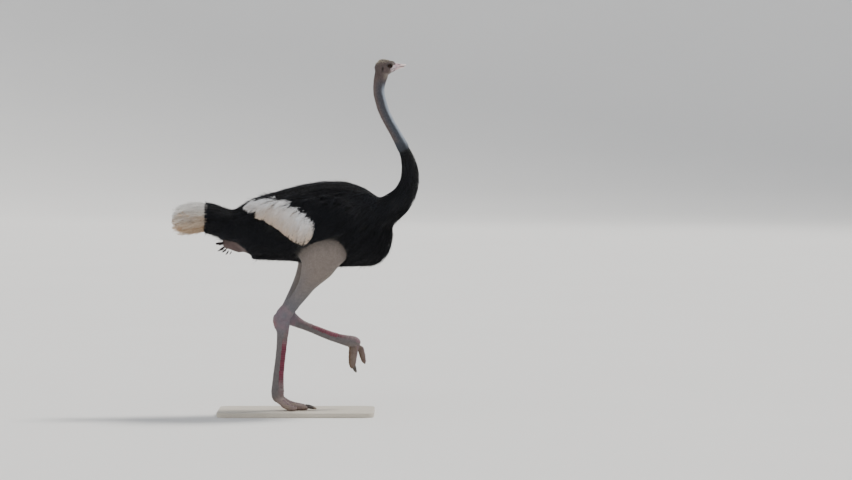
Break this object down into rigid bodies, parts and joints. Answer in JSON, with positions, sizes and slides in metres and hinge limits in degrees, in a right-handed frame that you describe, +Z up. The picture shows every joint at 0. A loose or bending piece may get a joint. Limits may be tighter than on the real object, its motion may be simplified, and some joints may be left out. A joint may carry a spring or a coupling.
{
  "type": "ostrich",
  "caption": "Life-size still model of a male Somali ostrich, walking with a foot lifted: grey neck and legs, black body plumage, white wing and tail plumes, on a flat display base",
  "frame": {"origin": "The middle of the underside of the display base's footprint, which is the centre of the model's bounding box in plan, on the surface that the base stands on", "axes": "X runs forward along the bird, tail to bill; Y to the bird's left; Z up. The bird's standing leg is its right leg, on the side of negative Y"},
  "size_m": [1.5954, 0.56, 2.2791],
  "materials": {
    "skin": "matte",
    "shank_skin": "matte",
    "toe_skin": "matte",
    "plumage_black": "matte",
    "plumage_white": "matte",
    "bill": "satin",
    "eye": "polished",
    "claw": "satin",
    "base": "matte"
  },
  "bodies": {
    "root": {"head": "skin", "neck_upper": "skin", "neck_middle": "skin", "vent": "skin", "drumstick_right": "skin", "hock_right": "skin", "drumstick_left": "skin", "hock_left": "skin", "shank_right": "shank_skin", "shank_left": "shank_skin", "toe_inner_right": "toe_skin", "toe_outer_right": "toe_skin", "toe_inner_left": "toe_skin", "toe_outer_left": "toe_skin", "neck_lower": "plumage_black", "trunk": "plumage_black", "tail_base": "plumage_black", "wing_right": "plumage_black", "wing_left": "plumage_black", "tail_plumes": "plumage_white", "wing_plumes_right": "plumage_white", "wing_plumes_left": "plumage_white", "bill_upper": "bill", "bill_lower": "bill", "eye_right": "eye", "eye_left": "eye", "claw_right": "claw", "claw_left": "claw", "stand_base": "base"}
  },
  "joints": []
}
